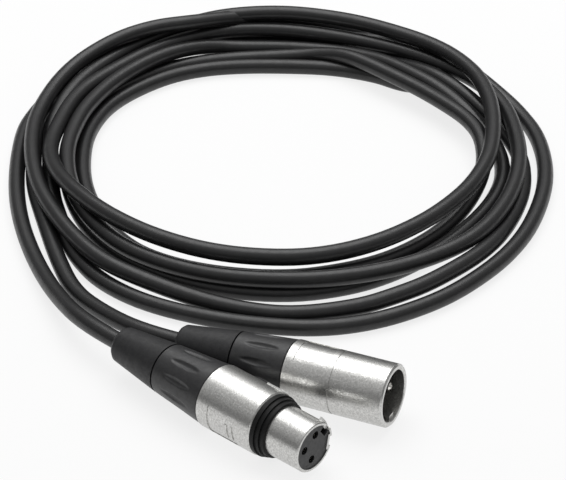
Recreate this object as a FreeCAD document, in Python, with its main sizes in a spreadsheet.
import FreeCAD, Part
import Sketcher

import math
import os
import re

# A coiled microphone cable with a male and a female three-pole connector.
#
# Frame: the coil lies flat on the plane Z = 0 around the origin, X runs along the coil's short width,
# the two connectors lie beside it on the -Y side with their mating faces towards +X.
#
# Each connector is modelled in its own frame: Z runs backwards from the mating face (Z = 0) to the end of the
# boot, and X points at the key. It is then turned and set down beside the coil.

DIMENSIONS = [
    # alias, millimetres or degrees, what it is
    ("fit", 0.03, "radial clearance of pieces that sit in each other"),
    ("running", 0.06, "radial clearance of pieces that slide or turn in each other"),
    ("seam", 0.3, "visible joint line between neighbouring outer pieces"),
    # cable
    ("cable_radius", 2.8, "outer radius of the jacket"),
    ("conductor_radius", 0.6, "outer radius of one insulated conductor"),
    ("conductor_offset", 1.5, "distance of the conductors from the axis inside the jacket"),
    ("conductor_lead", 0.8, "straight run of a conductor behind its solder cup"),
    ("conductor_tail", 1.6, "straight run of a conductor in front of the jacket's end"),
    ("jacket_start", 3.2, "start of the jacket behind the rear edge of the metal shell"),
    ("male_straight", 13.0, "straight run of the cable behind the male boot"),
    ("female_straight", 16.0, "straight run of the cable behind the female boot"),
    # coil
    ("coil_inner", 67.0, "inner radius of the coil"),
    ("coil_half_width", 95.0, "outer half size of the coil along X"),
    ("coil_half_depth", 103.0, "outer half size of the coil along Y"),
    ("coil_height", 18.0, "height of the coil"),
    ("coil_bevel", 5.0, "bevel along the coil's edges, where the turns round off"),
    # contacts, shared by both connectors
    ("pitch_radius", 4.0, "radius of the circle through the three contacts"),
    ("pin_radius", 1.2, "radius of a male pin"),
    ("pin_point", 0.6, "bevel at the tip of a pin"),
    ("pin_seat", 1.6, "radius of a male pin inside the insert"),
    ("socket_radius", 1.7, "outer radius of a female contact"),
    ("socket_depth", 13.0, "depth of the hole in a female contact"),
    ("socket_bore", 1.25, "radius of the hole in a female contact"),
    ("collar_radius", 2.1, "radius of the collar behind the insert"),
    ("collar_length", 1.0, "length of that collar"),
    ("cup_outer", 1.5, "outer radius of a solder cup"),
    ("cup_inner", 0.95, "inner radius of a solder cup"),
    ("cup_length", 4.0, "length of a solder cup"),
    ("cup_floor", 1.0, "solid length in front of the solder cup's hole"),
    # key and keyway
    ("key_width", 3.0, "width of the key rib in the male cup"),
    ("key_height", 1.15, "height of the key rib above the cup's wall"),
    ("key_start", 1.0, "start of the key rib behind the cup's mouth"),
    ("keyway_clearance", 0.2, "clearance of the keyway around the key rib"),
    ("keyway_wall", 0.8, "thickness of the metal around the keyway"),
    # latch
    ("latch_angle", 47.0, "angle from the key to the latch"),
    ("latch_width", 2.8, "width of the latch lever"),
    ("latch_side", 0.2, "clearance on each side of the latch lever"),
    ("latch_inset", 0.25, "depth of the lever's outer face below the nose"),
    ("latch_thickness", 1.2, "thickness of the lever"),
    ("latch_start", 1.0, "front end of the lever behind the mating face"),
    ("hook_length", 2.2, "length of the hook"),
    ("hook_height", 1.05, "height of the hook above the lever"),
    ("hook_land", 0.7, "length of the hook's flat top"),
    ("channel_depth", 3.0, "depth of the lever's channel below the lever's outer face"),
    ("pivot_place", 28.5, "place of the pivot behind the mating face"),
    ("pivot_inset", 1.4, "depth of the pivot below the lever's outer face"),
    ("pivot_radius", 0.75, "radius of the pivot pin"),
    ("pivot_length", 6.8, "length of the pivot pin"),
    ("eye_radius", 1.4, "outer radius of the lever's eye"),
    ("tab_start", 18.6, "front edge of the push tab"),
    ("tab_length", 5.6, "length of the push tab"),
    ("tab_width", 5.6, "width of the push tab"),
    ("tab_proud", 0.4, "height of the push tab above the shell"),
    ("tab_gap", 0.4, "gap around the push tab in its window"),
    ("tab_root", 0.3, "depth to which the tab runs down beside the blade"),
    ("tab_travel", 0.9, "room under the push tab"),
    ("spring_start", 6.0, "front end of the latch spring's foot behind the mating face"),
    ("spring_foot", 3.5, "length of the spring's foot"),
    ("spring_slope", 5.0, "length of the spring's rising part"),
    ("spring_tip", 1.5, "length of the spring's tip under the lever"),
    ("spring_width", 2.2, "width of the leaf spring"),
    ("spring_leaf", 0.25, "thickness of the leaf spring"),
    # male shell and insert
    ("male_wall", 0.9, "wall of the male shell at its thread"),
    ("male_shell_length", 33.0, "length of the male shell"),
    ("male_cup_depth", 14.5, "depth of the male cup"),
    ("male_lip", 0.5, "bevel of the cup's mouth"),
    ("stop_step", 0.85, "height of the step that stops the insert"),
    ("male_stop_length", 1.5, "length of that step"),
    ("male_insert_rear", 22.0, "rear face of the male insert"),
    ("male_pin_tip", 2.6, "tips of the pins behind the cup's mouth"),
    ("male_groove", 17.2, "place of the fine groove round the male shell"),
    ("groove_depth", 0.25, "depth of that groove"),
    ("groove_width", 0.4, "width of that groove"),
    ("catch_start", 9.0, "front of the recess that catches the latch hook"),
    ("catch_length", 2.8, "length of that recess"),
    ("catch_width", 4.0, "width of that recess"),
    ("catch_depth", 1.0, "depth of that recess"),
    # female shell, ring and insert
    ("nose_clearance", 0.1, "radial clearance of a nose in a cup"),
    ("nose_wall", 0.9, "wall of the female nose"),
    ("female_nose_length", 12.3, "length of the nose in front of the ring"),
    ("female_ring_length", 4.5, "length of the black ring"),
    ("ring_inset", 0.3, "depth of the ring's largest step below the shell"),
    ("ring_step", 0.5, "height of one step of the ring"),
    ("female_wall", 1.2, "wall of the female shell at its thread"),
    ("female_shell_length", 37.8, "rear edge of the female shell behind the mating face"),
    ("female_bevel", 0.5, "bevel of the female shell's front edge"),
    ("female_front_wall", 0.7, "thickness of the wall between nose and shell"),
    ("female_insert_face", 0.35, "depth of the insert's face behind the nose's rim"),
    ("female_insert_rear", 31.0, "rear face of the female insert"),
    # name pad on each shell, left bare
    ("pad_depth", 0.25, "depth of the bare pad"),
    ("pad_width", 11.0, "width of the bare pad"),
    ("male_pad_start", 19.5, "front edge of the male shell's pad"),
    ("female_pad_start", 22.5, "front edge of the female shell's pad"),
    ("pad_length", 11.0, "length of the bare pads"),
    ("female_pad_angle", 158.0, "angle from the key to the middle of the female pad"),
    ("bar_length", 1.0, "length along the axis of one raised bar beside the pad"),
    ("bar_width", 5.0, "width of one raised bar"),
    # clamp and boot, the same design on both connectors
    ("thread_bore", 8.9, "inner radius of both shells' threaded rear, which the other radii follow"),
    ("seat_step", 0.85, "step from the threaded rear to the insert's seat and the cup"),
    ("engagement", 6.5, "length of the boot's nose inside the shell"),
    ("thread_relief", 0.5, "free length in front of the boot's nose"),
    ("clamp_step", 1.2, "thickness of the boot's nose with its clearance round the clamp"),
    ("clamp_tail", 4.6, "outer radius of the clamp's narrow end"),
    ("clamp_lead", 4.2, "start of the clamp's cone behind the shell"),
    ("clamp_ring", 2.0, "length of the clamp's closed ring"),
    ("cone_length", 9.0, "length of the clamp's cone"),
    ("cone_gap", 0.15, "clearance between clamp and boot"),
    ("cage_wall", 0.8, "wall of the clamp's cage"),
    ("cage_window", 6.4, "width of the windows in the cage"),
    ("cage_end", 1.5, "closed length at each end of a window"),
    ("jaw_slot", 0.8, "width of the slots between the clamp's jaws"),
    ("grip_step", 0.2, "step from a shell down to its grip"),
    ("grip_narrowing", 0.85, "amount by which a grip's rear is slimmer than the thread"),
    ("male_grip_length", 18.6, "length of the male grip"),
    ("female_grip_length", 20.6, "length of the female grip"),
    ("tail_bore", 3.3, "inner radius of the grip behind the clamp"),
    ("spigot_radius", 5.6, "radius of the spigot inside the sleeve"),
    ("spigot_length", 4.0, "length of that spigot"),
    ("sleeve_length", 20.4, "length of the sleeve"),
    ("sleeve_rear", 5.5, "radius of the sleeve at its end"),
    ("sleeve_bevel", 1.5, "size of the rounded bevel at the sleeve's end"),
    ("flute_count", 10, "number of flutes round a grip"),
    ("flute_length", 12.0, "length of a flute"),
    ("flute_radius", 1.5, "largest radius of a flute's tool, two cones base to base"),
    ("flute_depth", 0.55, "depth of a flute"),
    # where the connectors lie
    ("male_face_x", 33.0, "centre of the male mating face"),
    ("male_face_y", -144.0, "centre of the male mating face"),
    ("male_heading", 26.0, "angle of the male connector from +X towards -Y"),
    ("male_rise", 2.0, "angle by which the male connector's front is raised"),
    ("male_key_turn", 180.0, "turn of the male key about the connector's axis, from straight up"),
    ("female_face_x", 9.1, "centre of the female mating face"),
    ("female_face_y", -168.0, "centre of the female mating face"),
    ("female_heading", 41.8, "angle of the female connector from +X towards -Y"),
    ("female_rise", 0.0, "angle by which the female connector's front is raised"),
    ("female_key_turn", 102.0, "turn of the female key about the connector's axis, from straight up"),
]

# Radii that follow the driving dimensions.
DERIVED = {
    "male_shell_radius": "thread_bore + male_wall",
    "female_shell_radius": "thread_bore + female_wall",
    "male_cup_radius": "thread_bore - seat_step",
    "female_seat_bore": "thread_bore - seat_step",
    "male_stop_radius": "male_cup_radius - stop_step",
    "key_top": "male_cup_radius - key_height",
    "female_nose_radius": "male_cup_radius - nose_clearance",
    "female_nose_bore": "female_nose_radius - nose_wall",
    "female_ring_radius": "female_shell_radius - ring_inset",
    "latch_top": "female_nose_radius - latch_inset",
    "slot_floor": "latch_top - channel_depth",
    "pivot_height": "latch_top - pivot_inset",
    "clamp_radius": "thread_bore - clamp_step",
    "male_grip_radius": "male_shell_radius - grip_step",
    "female_grip_radius": "female_shell_radius - grip_step",
    "grip_rear": "thread_bore - grip_narrowing",
}

ARC_SHARE = 0.45  # share of a straight run that an arc at its end takes up

MITRED = 1  # the pipe's transition at a corner

# Points of the free cable chosen by hand, from the end of its straight run behind each boot into the coil.
MALE_TAIL = [(-56.0, -93.0, 5.2), (-67.0, -77.5, 3.1), (-73.5, -58.5, 2.9), (-79.0, -37.5, 2.9)]
FEMALE_TAIL = [(-72.0, -83.0, 5.5), (-80.5, -60.5, 3.1), (-87.5, -36.5, 2.9), (-91.3, -13.0, 2.9)]

doc = FreeCAD.newDocument("cable_coil")
sheet = doc.addObject("Spreadsheet::Sheet", "dims")
for row, (alias, number, note) in enumerate(DIMENSIONS, start=1):
    sheet.set(f"A{row}", note)
    sheet.set(f"B{row}", str(number))
    sheet.setAlias(f"B{row}", alias)
doc.recompute()

ALIASES = {alias for alias, number, note in DIMENSIONS}
sub_parts = []


def in_sheet(formula):
    """A formula as an expression of the sheet, with its derived sizes written out."""

    def written_out(word):
        name = word[0]
        if name in DERIVED:
            return f"({in_sheet(DERIVED[name])})"
        return f"dims.{name}" if name in ALIASES else name

    return re.sub(r"[a-z_]+", written_out, formula)


def value(formula):
    """Work out a formula in the sheet's dimensions."""
    return float(sheet.evalExpression(in_sheet(formula)))


def bind(thing, **formulas):
    """Bind properties of an object to formulas; base_x, base_y and base_z are its place."""
    for name, formula in formulas.items():
        path = f"Placement.Base.{name[-1]}" if name.startswith("base_") else name
        thing.setExpression(path, in_sheet(formula))
    return thing


def outline_body(name, plane_role, corners):
    """A body with one closed outline sketched on an origin plane, every corner bound to the sheet."""
    body = doc.addObject("PartDesign::Body", name)
    plane = [item for item in body.Origin.OriginFeatures if item.Role == plane_role][0]
    sketch = body.newObject("Sketcher::SketchObject", name + "_outline")
    sketch.AttachmentSupport = [(plane, "")]
    sketch.MapMode = "FlatFace"
    sketch.Visibility = False
    points = [FreeCAD.Vector(value(across), value(along), 0) for across, along in corners]
    for start, end in zip(points, points[1:] + points[:1]):
        sketch.addGeometry(Part.LineSegment(start, end), False)
    for index, corner in enumerate(corners):
        sketch.addConstraint(Sketcher.Constraint("Coincident", index, 2, (index + 1) % len(corners), 1))
        for kind, axis, formula, at in zip(("DistanceX", "DistanceY"), (-2, -1), corner, points[index]):
            if formula == "0":
                sketch.addConstraint(Sketcher.Constraint("PointOnObject", index, 1, axis))
                continue
            number = sketch.addConstraint(Sketcher.Constraint(kind, -1, 1, index, 1, at))
            sketch.setExpression(f"Constraints[{number}]", in_sheet(formula))
    return body


def turned(name, corners):
    """A turned body: the outline's corners are (radius, place along the axis)."""
    body = outline_body(name, "XZ_Plane", corners)
    sketch = body.Group[0]
    turn = body.newObject("PartDesign::Revolution", name + "_turn")
    turn.Profile = sketch
    turn.ReferenceAxis = (sketch, ["V_Axis"])
    turn.Angle = 360
    return body


def padded(name, corners, width):
    """A body of a given width: the outline's corners are (distance from the axis, place along it)."""
    body = outline_body(name, "XZ_Plane", corners)
    pad = body.newObject("PartDesign::Pad", name + "_pad")
    pad.Profile = body.Group[0]
    pad.SideType = "Symmetric"
    bind(pad, Length=width)
    return body


def cylinder(name, radius, low, high):
    """A cylinder on the axis between two places."""
    piece = doc.addObject("Part::Cylinder", name)
    return bind(piece, Radius=radius, Height=f"({high}) - ({low})", base_z=low)


def block(name, x, y, z):
    """A box between two values in X, Y and Z."""
    (x0, x1), (y0, y1), (z0, z1) = x, y, z
    return bind(
        doc.addObject("Part::Box", name),
        Length=f"({x1}) - ({x0})",
        Width=f"({y1}) - ({y0})",
        Height=f"({z1}) - ({z0})",
        base_x=x0,
        base_y=y0,
        base_z=z0,
    )


def joined(name, *pieces):
    fusion = doc.addObject("Part::MultiFuse", name)
    fusion.Shapes = list(pieces)
    return fusion


def shared(name, first, second):
    common = doc.addObject("Part::Common", name)
    common.Base = first
    common.Tool = second
    return common


def cut(name, base, *tools):
    """The base less its tools."""
    result = doc.addObject("Part::Cut", name)
    result.Base = base
    result.Tool = tools[0] if len(tools) == 1 else joined(name + "_tools", *tools)
    return result


def moved(thing, place):
    """Move a piece; one whose own place is bound to the sheet moves inside a compound."""
    if any("Placement" in path for path, formula in thing.ExpressionEngine):
        holder = doc.addObject("Part::Compound", thing.Name + "_moved")
        holder.Links = [thing]
        thing = holder
    thing.Placement = place.multiply(thing.Placement)
    return thing


def turned_by(thing, angle):
    """Turn a piece about the connector's axis, from the key towards +Y."""
    return moved(thing, FreeCAD.Placement(FreeCAD.Vector(), FreeCAD.Rotation(FreeCAD.Vector(0, 0, 1), angle)))


def connector_place(side):
    """Where a connector's own frame lies: Z backwards from the mating face, X at the key."""
    heading = math.radians(value(f"{side}_heading"))
    rise = math.radians(value(f"{side}_rise"))
    turn = math.radians(value(f"{side}_key_turn"))
    forward = FreeCAD.Vector(
        math.cos(rise) * math.cos(heading), -math.cos(rise) * math.sin(heading), math.sin(rise)
    )
    sideways = FreeCAD.Vector(math.sin(heading), math.cos(heading), 0)
    upward = forward.cross(sideways)
    key = upward * math.cos(turn) + sideways * math.sin(turn)
    backward = forward * -1
    across = backward.cross(key)
    # the shell's rear edge rests on the plane Z = 0
    reach = value(f"{side}_shell_length")
    rest = value(f"{side}_shell_radius") * math.cos(rise) + reach * math.sin(rise)
    face = FreeCAD.Vector(value(f"{side}_face_x"), value(f"{side}_face_y"), rest)
    return FreeCAD.Placement(face, FreeCAD.Rotation(key, across, backward, "ZXY"))


def sub_part(label, thing, place):
    """Name a finished piece and set it down."""
    thing = moved(thing, place)
    thing.Label = label
    sub_parts.append(thing)


def wire(name, points, radius):
    """A thin round solid along straight runs with mitred corners."""
    corners = [FreeCAD.Vector(*point) for point in points]
    section = Part.Wire(Part.makeCircle(radius, corners[0], corners[1] - corners[0]))
    piece = doc.addObject("Part::Feature", name)
    piece.Shape = Part.makePolygon(corners).makePipeShell([section], True, False, MITRED)
    return piece


def tube(name, points, radius):
    """A round solid along straight runs joined by tangent arcs, each as large as its two runs allow."""
    corners = [FreeCAD.Vector(*point) for point in points]
    edges = []
    radii = []
    start = corners[0]
    for before, corner, after in zip(corners, corners[1:], corners[2:]):
        reach = ARC_SHARE * min(corner.distanceToPoint(before), after.distanceToPoint(corner))
        half_turn = (corner - before).getAngle(after - corner) / 2
        arc_radius = reach / math.tan(half_turn)
        toward_before = (before - corner).normalize()
        toward_after = (after - corner).normalize()
        first = corner + toward_before * reach
        last = corner + toward_after * reach
        inward = (toward_before + toward_after).normalize()
        middle = corner + inward * (arc_radius / math.cos(half_turn) - arc_radius)
        edges.append(Part.LineSegment(start, first).toShape())
        edges.append(Part.Arc(first, middle, last).toShape())
        radii.append(round(arc_radius, 1))
        start = last
    edges.append(Part.LineSegment(start, corners[-1]).toShape())
    path = Part.Wire(edges)
    section = Part.Wire(Part.makeCircle(radius, corners[0], corners[1] - corners[0]))
    solid = path.makePipeShell([section], True, False)
    length = sum(edge.Length for edge in edges)
    wanted = math.pi * radius**2 * length
    share = solid.Volume / wanted
    print(f"{name}: length {length:.1f} mm, radii {radii}, volume {share:.4f} of the exact one")
    piece = doc.addObject("Part::Feature", name)
    piece.Shape = solid
    return piece


# ---- contacts ------------------------------------------------------------------------------------

CONTACT_ANGLES = {1: 90.0, 2: -90.0, 3: 180.0}  # angle from the key


def round_contacts(number, piece):
    """Move a contact made on the axis to its place on the pitch circle."""
    shift = FreeCAD.Placement(FreeCAD.Vector(value("pitch_radius"), 0, 0), FreeCAD.Rotation())
    return turned_by(moved(piece, shift), CONTACT_ANGLES[number])


def contact(side, number):
    """A contact: pin or socket in front, then a collar against the insert, then the solder cup."""
    rear = f"{side}_insert_rear"
    name = f"{side}_contact_{number}"
    if side == "male":
        front = [
            ("0", "male_pin_tip"),
            ("pin_radius - pin_point", "male_pin_tip"),
            ("pin_radius", "male_pin_tip + pin_point"),
            ("pin_radius", "male_cup_depth"),
            ("pin_seat", "male_cup_depth"),
            ("pin_seat", rear),
        ]
        hollow = []
    else:
        inside = "female_insert_face + female_front_wall"
        front = [("socket_bore", inside), ("socket_radius", inside), ("socket_radius", rear)]
        hollow = [("0", f"{inside} + socket_depth"), ("socket_bore", f"{inside} + socket_depth")]
    cup_end = f"{rear} + collar_length + cup_length"
    back = [
        ("collar_radius", rear),
        ("collar_radius", f"{rear} + collar_length"),
        ("cup_outer", f"{rear} + collar_length"),
        ("cup_outer", cup_end),
        ("cup_inner", cup_end),
        ("cup_inner", f"{rear} + collar_length + cup_floor"),
        ("0", f"{rear} + collar_length + cup_floor"),
    ]
    return round_contacts(number, turned(name, front + back + hollow))


def conductor(side, number):
    """One conductor from its solder cup into the end of the jacket."""
    cup = value(f"{side}_insert_rear + collar_length + cup_floor")
    leave = value(f"{side}_insert_rear + collar_length + cup_length + conductor_lead")
    jacket = value(f"{side}_shell_length + jacket_start")
    far, near = value("pitch_radius"), value("conductor_offset")
    bend = jacket - value("conductor_tail")
    points = [(far, 0, cup + value("fit")), (far, 0, leave), (near, 0, bend), (near, 0, jacket)]
    piece = wire(f"{side}_conductor_{number}", points, value("conductor_radius"))
    return turned_by(piece, CONTACT_ANGLES[number])


# ---- cable clamp and boot, the same design on both connectors ------------------------------------


def clamp(side):
    """The cable clamp: a windowed cage behind the insert, a ring and a slotted cone that grips the jacket."""
    shell_end = f"{side}_shell_length"
    rear = f"{side}_insert_rear"
    ring_end = f"{shell_end} + clamp_lead"
    ring_start = f"{ring_end} - clamp_ring"
    cone_end = f"{ring_end} + cone_length"
    name = f"{side}_clamp"
    body = turned(
        name + "_body",
        [
            ("clamp_radius - cage_wall", rear),
            ("clamp_radius", rear),
            ("clamp_radius", ring_end),
            ("clamp_tail", cone_end),
            ("cable_radius", cone_end),
            ("cable_radius", ring_start),
            ("clamp_radius - cage_wall", ring_start),
        ],
    )
    across = ("-thread_bore", "thread_bore")
    gap = ("-jaw_slot / 2", "jaw_slot / 2")
    along = (f"{ring_end} + cage_end", f"{cone_end} + seam")
    slots = [block(name + "_slot_x", across, gap, along), block(name + "_slot_y", gap, across, along)]
    opening = ("-cage_window / 2", "cage_window / 2")
    window = block(name + "_window", across, opening, (f"{rear} + cage_end", f"{ring_start} - cage_end"))
    return cut(name, body, *slots, window)


def grip(side):
    """The hard part of the boot: threaded nose, fluted barrel, inner cone and spigot for the sleeve."""
    shell_end = f"{side}_shell_length"
    shoulder = f"{shell_end} + seam"
    ring_end = f"{shell_end} + clamp_lead"
    cone_end = f"{ring_end} + cone_length"
    barrel_end = f"{shell_end} + {side}_grip_length"
    spigot_end = f"{barrel_end} + spigot_length"
    nose_front = f"{shell_end} - engagement"
    name = f"{side}_grip"
    body = turned(
        name + "_body",
        [
            ("clamp_radius + cone_gap", nose_front),
            ("thread_bore - running", nose_front),
            ("thread_bore - running", shoulder),
            (f"{side}_grip_radius", shoulder),
            ("grip_rear", barrel_end),
            ("spigot_radius", barrel_end),
            ("spigot_radius", spigot_end),
            ("tail_bore", spigot_end),
            ("tail_bore", f"{cone_end} + seam"),
            ("clamp_tail + cone_gap", f"{cone_end} + seam"),
            ("clamp_tail + cone_gap", cone_end),
            ("clamp_radius + cone_gap", ring_end),
        ],
    )
    narrowing = value(f"{side}_grip_radius - grip_rear")
    taper = math.degrees(math.atan2(narrowing, value(f"{side}_grip_length - seam")))
    count = int(value("flute_count"))
    out = value(f"({side}_grip_radius + grip_rear) / 2 + flute_radius - flute_depth")
    along = value(f"{shell_end} + {side}_grip_length / 2")
    lean = FreeCAD.Rotation(FreeCAD.Vector(0, 1, 0), -taper)
    flutes = []
    for index in range(count):
        for end, half_turn in (("front", 180), ("rear", 0)):
            cone = bind(
                doc.addObject("Part::Cone", f"{name}_flute_{end}_{index}"),
                Radius1="flute_radius",
                Radius2="0",
                Height="flute_length / 2",
            )
            point = lean.multiply(FreeCAD.Rotation(FreeCAD.Vector(0, 1, 0), half_turn))
            cone.Placement = FreeCAD.Placement(FreeCAD.Vector(out, 0, along), point)
            flutes.append(turned_by(cone, 360 * (index + 0.5) / count))
    return cut(name, body, *flutes)


def sleeve(side):
    """The soft part of the boot, moulded on the grip's spigot and sliding on the jacket."""
    barrel_end = f"{side}_shell_length + {side}_grip_length"
    start = f"{barrel_end} + seam"
    spigot_end = f"{barrel_end} + spigot_length + fit"
    end = f"{barrel_end} + sleeve_length"
    return turned(
        f"{side}_sleeve",
        [
            ("spigot_radius + fit", start),
            ("grip_rear", start),
            ("sleeve_rear + sleeve_bevel / 6", f"{end} - sleeve_bevel"),
            ("sleeve_rear - sleeve_bevel / 3", f"{end} - sleeve_bevel / 3"),
            ("sleeve_rear - sleeve_bevel", end),
            ("cable_radius + running", end),
            ("cable_radius + running", spigot_end),
            ("spigot_radius + fit", spigot_end),
        ],
    )


def cable_end(side):
    """The straight end of the jacketed cable inside the clamp and the boot."""
    start = f"{side}_shell_length + jacket_start"
    return cylinder(f"{side}_jacket", "cable_radius", start, boot_end(side))


def boot_end(side):
    return f"{side}_shell_length + {side}_grip_length + sleeve_length"


def skin_patch(name, inner, outer, width, start, length, angle):
    """A curved patch between two radii, of a given width and length, at an angle from the key."""
    skin = cut(
        name + "_skin",
        cylinder(name + "_outer", outer, start, f"{start} + {length}"),
        cylinder(name + "_inner", inner, f"{start} - seam", f"{start} + {length} + seam"),
    )
    across = (f"-({width}) / 2", f"({width}) / 2")
    window = block(name + "_window", ("0", f"{outer} + seam"), across, (start, f"{start} + {length}"))
    return turned_by(shared(name, skin, window), angle)


# ---- male connector ------------------------------------------------------------------------------


def male_shell():
    """The metal shell: an open cup with the key rib, a step for the insert and the threaded rear."""
    rear = "male_shell_length"
    thread_start = f"{rear} - engagement - thread_relief"
    stop_end = "male_cup_depth + male_stop_length"
    body = turned(
        "male_shell_body",
        [
            ("male_cup_radius", "male_lip / 2"),
            ("male_cup_radius + male_lip / 2", "0"),
            ("male_shell_radius - male_lip", "0"),
            ("male_shell_radius", "male_lip"),
            ("male_shell_radius", "male_groove"),
            ("male_shell_radius - groove_depth", "male_groove"),
            ("male_shell_radius - groove_depth", "male_groove + groove_width"),
            ("male_shell_radius", "male_groove + groove_width"),
            ("male_shell_radius", rear),
            ("thread_bore", rear),
            ("thread_bore", thread_start),
            ("male_cup_radius", thread_start),
            ("male_cup_radius", stop_end),
            ("male_stop_radius", stop_end),
            ("male_stop_radius", "male_cup_depth"),
            ("male_cup_radius", "male_cup_depth"),
        ],
    )
    key = block(
        "male_key",
        ("key_top", "male_cup_radius + seam"),
        ("-key_width / 2", "key_width / 2"),
        ("key_start", "male_cup_depth"),
    )
    catch = turned_by(
        block(
            "male_catch",
            ("male_stop_radius", "male_cup_radius + catch_depth"),
            ("-catch_width / 2", "catch_width / 2"),
            ("catch_start", "catch_start + catch_length"),
        ),
        value("latch_angle"),
    )
    bare_pad = skin_patch(
        "male_pad",
        "male_shell_radius - pad_depth",
        "male_shell_radius + seam",
        "pad_width",
        "male_pad_start",
        "pad_length",
        180,
    )
    return cut("male_shell", joined("male_shell_and_key", body, key), catch, bare_pad)


def male_insert():
    """The black insert: the floor of the cup and a flange behind the step, with holes for the pins."""
    stop_end = "male_cup_depth + male_stop_length"
    body = turned(
        "male_insert_body",
        [
            ("0", "male_cup_depth"),
            ("male_stop_radius - fit", "male_cup_depth"),
            ("male_stop_radius - fit", f"{stop_end} + fit"),
            ("male_cup_radius - fit", f"{stop_end} + fit"),
            ("male_cup_radius - fit", "male_insert_rear"),
            ("0", "male_insert_rear"),
        ],
    )
    holes = []
    for number in CONTACT_ANGLES:
        front, back = "male_cup_depth - seam", "male_insert_rear + seam"
        hole = cylinder(f"male_hole_{number}", "pin_seat + fit", front, back)
        holes.append(round_contacts(number, hole))
    return cut("male_insert", body, *holes)


# ---- female connector ----------------------------------------------------------------------------


def latch_frame(thing):
    """Turn a piece made with the latch along +X to the latch's angle from the key."""
    return turned_by(thing, -value("latch_angle"))


def lever_channel(name, floor, top, start, end):
    """The channel that the latch lever lies in."""
    half = "latch_width / 2 + latch_side"
    return latch_frame(block(name, (floor, top), (f"-({half})", half), (start, end)))


def tab_window(name):
    """The room that the push tab moves in, through the shell and into the insert."""
    return latch_frame(
        block(
            name,
            ("latch_top - tab_root - tab_travel", "female_shell_radius + seam"),
            ("-tab_width / 2 - tab_gap", "tab_width / 2 + tab_gap"),
            ("tab_start - tab_gap", "tab_start + tab_length + tab_gap"),
        )
    )


def female_shell():
    """The metal shell: slim nose with keyway and slot, wide body with the tab's window, threaded rear."""
    nose_end = "female_nose_length + female_ring_length"
    rear = "female_shell_length"
    thread_start = f"{rear} - engagement - thread_relief"
    wall_end = f"{nose_end} + female_front_wall"
    body = turned(
        "female_shell_body",
        [
            ("female_nose_bore", "0"),
            ("female_nose_radius - female_bevel / 2", "0"),
            ("female_nose_radius", "female_bevel / 2"),
            ("female_nose_radius", nose_end),
            ("female_shell_radius - female_bevel", nose_end),
            ("female_shell_radius", f"{nose_end} + female_bevel"),
            ("female_shell_radius", rear),
            ("thread_bore", rear),
            ("thread_bore", thread_start),
            ("female_seat_bore", thread_start),
            ("female_seat_bore", wall_end),
            ("female_nose_bore", wall_end),
        ],
    )
    inner = "key_top - keyway_clearance"
    half = "key_width / 2 + keyway_clearance"
    keyway_metal = block(
        "female_keyway_metal",
        (f"{inner} - keyway_wall", "female_nose_bore + seam"),
        (f"-({half} + keyway_wall)", f"{half} + keyway_wall"),
        ("0", "female_nose_length"),
    )
    keyway = block(
        "female_keyway", (inner, "female_shell_radius"), (f"-({half})", half), ("-seam", "female_nose_length")
    )
    slot_top = "female_seat_bore + running"
    slot = lever_channel("female_latch_slot", "slot_floor", slot_top, "-seam", f"{wall_end} + seam")
    window = tab_window("female_tab_window")
    angle = value("female_pad_angle")
    bare_pad = skin_patch(
        "female_pad",
        "female_shell_radius - pad_depth",
        "female_shell_radius + seam",
        "pad_width",
        "female_pad_start",
        "pad_length",
        angle,
    )
    bars = [
        skin_patch(
            f"female_bar_{index}",
            "female_shell_radius - pad_depth",
            "female_shell_radius",
            "bar_width",
            f"female_pad_start + {1 + 2 * index} * bar_length",
            "bar_length",
            angle,
        )
        for index in range(2)
    ]
    metal = joined("female_shell_and_keyway", body, keyway_metal)
    hollowed = cut("female_shell_cut", metal, keyway, slot, window, bare_pad)
    return joined("female_shell", hollowed, *bars)


def female_ring():
    """The black stepped ring round the foot of the nose."""
    step = "female_ring_length / 3"
    corners = [("female_nose_radius + fit", "female_nose_length")]
    for index in range(3):
        radius = f"female_ring_radius - {2 - index} * ring_step"
        corners.append((radius, f"female_nose_length + {index} * {step}"))
        corners.append((radius, f"female_nose_length + {index + 1} * {step}"))
    corners.append(("female_nose_radius + fit", "female_nose_length + female_ring_length"))
    return turned("female_ring", corners)


def female_insert():
    """The black insert with its three holes, the keyway's notch, the lever's channel and the pivot's seat."""
    wall_end = "female_nose_length + female_ring_length + female_front_wall"
    inside = "female_insert_face + female_front_wall"
    body = turned(
        "female_insert_body",
        [
            ("0", "female_insert_face"),
            ("female_nose_bore - fit", "female_insert_face"),
            ("female_nose_bore - fit", f"{wall_end} + fit"),
            ("female_seat_bore - fit", f"{wall_end} + fit"),
            ("female_seat_bore - fit", "female_insert_rear"),
            ("0", "female_insert_rear"),
        ],
    )
    tools = []
    for number in CONTACT_ANGLES:
        mouth = cylinder(f"female_mouth_{number}", "socket_bore", "-seam", f"{inside} + seam")
        hole = cylinder(f"female_hole_{number}", "socket_radius + fit", inside, "female_insert_rear + seam")
        tools += [round_contacts(number, mouth), round_contacts(number, hole)]
    half = "key_width / 2 + keyway_clearance + keyway_wall + fit"
    tools.append(
        block(
            "female_notch",
            ("key_top - keyway_clearance - keyway_wall - fit", "female_nose_radius"),
            (f"-({half})", half),
            ("-seam", "female_nose_length + fit"),
        )
    )
    back = "female_insert_rear + seam"
    tools.append(lever_channel("female_insert_channel", "slot_floor", "female_shell_radius", "-seam", back))
    tools.append(tab_window("female_tab_pocket"))
    hole = cylinder("female_pivot_hole", "pivot_radius + fit", "-female_shell_radius", "female_shell_radius")
    tools.append(latch_frame(across_latch(hole)))
    return cut("female_insert", body, *tools)


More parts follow.
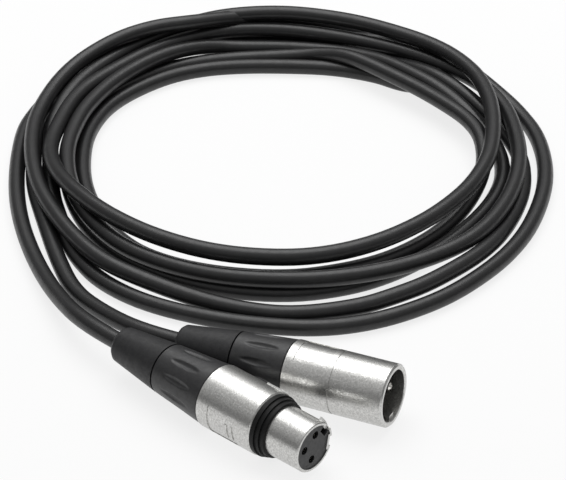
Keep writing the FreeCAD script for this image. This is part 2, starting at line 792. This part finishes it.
def across_latch(thing):
    """Lay a cylinder made on the axis across the latch, at the pivot."""
    place = FreeCAD.Vector(value("pivot_height"), 0, value("pivot_place"))
    return moved(thing, FreeCAD.Placement(place, FreeCAD.Rotation(FreeCAD.Vector(1, 0, 0), 90)))


def latch_lever():
    """The sprung lever: hook at the nose's tip, long blade, push tab in the window, eye on the pivot."""
    blade = padded("latch_blade", lever_outline(), "latch_width")
    eye = across_latch(cylinder("latch_eye", "eye_radius", "-latch_width / 2", "latch_width / 2"))
    tab_end = "tab_start + tab_length"
    tab_block = block(
        "latch_tab_block",
        ("latch_top - tab_root", "female_shell_radius + tab_length"),
        ("-tab_width / 2", "tab_width / 2"),
        ("tab_start", tab_end),
    )
    tab_round = cylinder(
        "latch_tab_round", "female_shell_radius + tab_proud", "tab_start - seam", f"{tab_end} + seam"
    )
    tab = shared("latch_tab", tab_block, tab_round)
    hole = across_latch(cylinder("latch_eye_hole", "pivot_radius + running", "-tab_width", "tab_width"))
    return latch_frame(cut("latch_lever", joined("latch_solid", blade, eye, tab), hole))


def lever_outline():
    """Corners of the lever's side view: (distance from the axis, place behind the mating face)."""
    bottom = "latch_top - latch_thickness"
    hook_top = "latch_top + hook_height"
    hook_end = "latch_start + hook_length"
    return [
        (bottom, "latch_start"),
        ("latch_top", "latch_start"),
        (hook_top, f"{hook_end} - hook_land"),
        (hook_top, hook_end),
        ("latch_top", hook_end),
        ("latch_top", "pivot_place"),
        (bottom, "pivot_place"),
    ]


def latch_pivot():
    """The pin that the lever turns on, held in the insert."""
    pin = cylinder("latch_pivot_pin", "pivot_radius", "-pivot_length / 2", "pivot_length / 2")
    return latch_frame(across_latch(pin))


def latch_spring():
    """The leaf spring: its foot lies on the channel's floor and its tip presses the blade outwards."""
    foot = "slot_floor + fit"
    tip = "latch_top - latch_thickness - fit - spring_leaf"
    foot_end = "spring_start + spring_foot"
    slope_end = f"{foot_end} + spring_slope"
    tip_end = f"{slope_end} + spring_tip"
    under = [(foot, "spring_start"), (foot, foot_end), (tip, slope_end), (tip, tip_end)]
    over = [(f"{across} + spring_leaf", along) for across, along in reversed(under)]
    return latch_frame(padded("latch_leaf", under + over, "spring_width"))


# ---- coil ----------------------------------------------------------------------------------------


def coil():
    """The outer shape of the coiled turns: an oval ring with a round eye and bevelled edges."""
    oval = doc.addObject("Part::Ellipse", "coil_oval")
    bind(oval, MajorRadius="coil_half_depth", MinorRadius="coil_half_width")
    oval.Placement = FreeCAD.Placement(FreeCAD.Vector(), FreeCAD.Rotation(FreeCAD.Vector(0, 0, 1), 90))
    disc = doc.addObject("Part::Extrusion", "coil_disc")
    disc.Base = oval
    disc.DirMode = "Custom"
    disc.Dir = FreeCAD.Vector(0, 0, 1)
    disc.Solid = True
    bind(disc, LengthFwd="coil_height")
    eye = cylinder("coil_eye", "coil_inner", "-seam", "coil_height + seam")
    ring = cut("coil_ring", disc, eye)
    doc.recompute()
    bevel = value("coil_bevel")
    edges = [
        (number, bevel, bevel)
        for number, edge in enumerate(ring.Shape.Edges, start=1)
        if abs(edge.BoundBox.ZMax - edge.BoundBox.ZMin) < value("seam")
    ]
    bevelled = doc.addObject("Part::Chamfer", "cable_coil")
    bevelled.Base = ring
    bevelled.Edges = edges
    return bevelled


# ---- all pieces, set down in place ---------------------------------------------------------------

for side, tail in (("male", MALE_TAIL), ("female", FEMALE_TAIL)):
    place = connector_place(side)
    for number in CONTACT_ANGLES:
        sub_part(f"{side}_contact_{number}", contact(side, number), place)
        sub_part(f"{side}_conductor_{number}", conductor(side, number), place)
    sub_part(f"{side}_clamp", clamp(side), place)
    sub_part(f"{side}_boot_grip", grip(side), place)
    sub_part(f"{side}_boot_sleeve", sleeve(side), place)
    sub_part(f"{side}_cable_end", cable_end(side), place)
    boot_exit = value(boot_end(side))
    runs = (boot_exit, boot_exit + value(f"{side}_straight"))
    straight = [place.multVec(FreeCAD.Vector(0, 0, along)) for along in runs]
    free_cable = tube(f"cable_tail_{side}", straight + tail, value("cable_radius"))
    sub_part(f"cable_tail_{side}", free_cable, FreeCAD.Placement())

sub_part("male_shell", male_shell(), connector_place("male"))
sub_part("male_insert", male_insert(), connector_place("male"))
sub_part("female_shell", female_shell(), connector_place("female"))
sub_part("female_ring", female_ring(), connector_place("female"))
sub_part("female_insert", female_insert(), connector_place("female"))
sub_part("latch_lever", latch_lever(), connector_place("female"))
sub_part("latch_pivot", latch_pivot(), connector_place("female"))
sub_part("latch_spring", latch_spring(), connector_place("female"))
sub_part("cable_coil", coil(), FreeCAD.Placement())

doc.recompute()
for thing in doc.Objects:
    if {"Invalid", "Error"} & set(thing.State):
        raise RuntimeError(f"{thing.Name} is {thing.State}: {thing.getStatusString()}")
os.makedirs("parts", exist_ok=True)
for thing in sub_parts:
    shape = thing.Shape
    if shape.isNull() or not shape.isValid() or len(shape.Solids) != 1:
        raise RuntimeError(f"{thing.Label} has {len(shape.Solids)} solids, valid {shape.isValid()}")
    shape.exportStep(f"parts/{thing.Label}.step")
    box = shape.BoundBox
    print(f"{thing.Label:22s} {shape.Volume:10.1f} mm3  Z {box.ZMin:6.2f} to {box.ZMax:6.2f}")
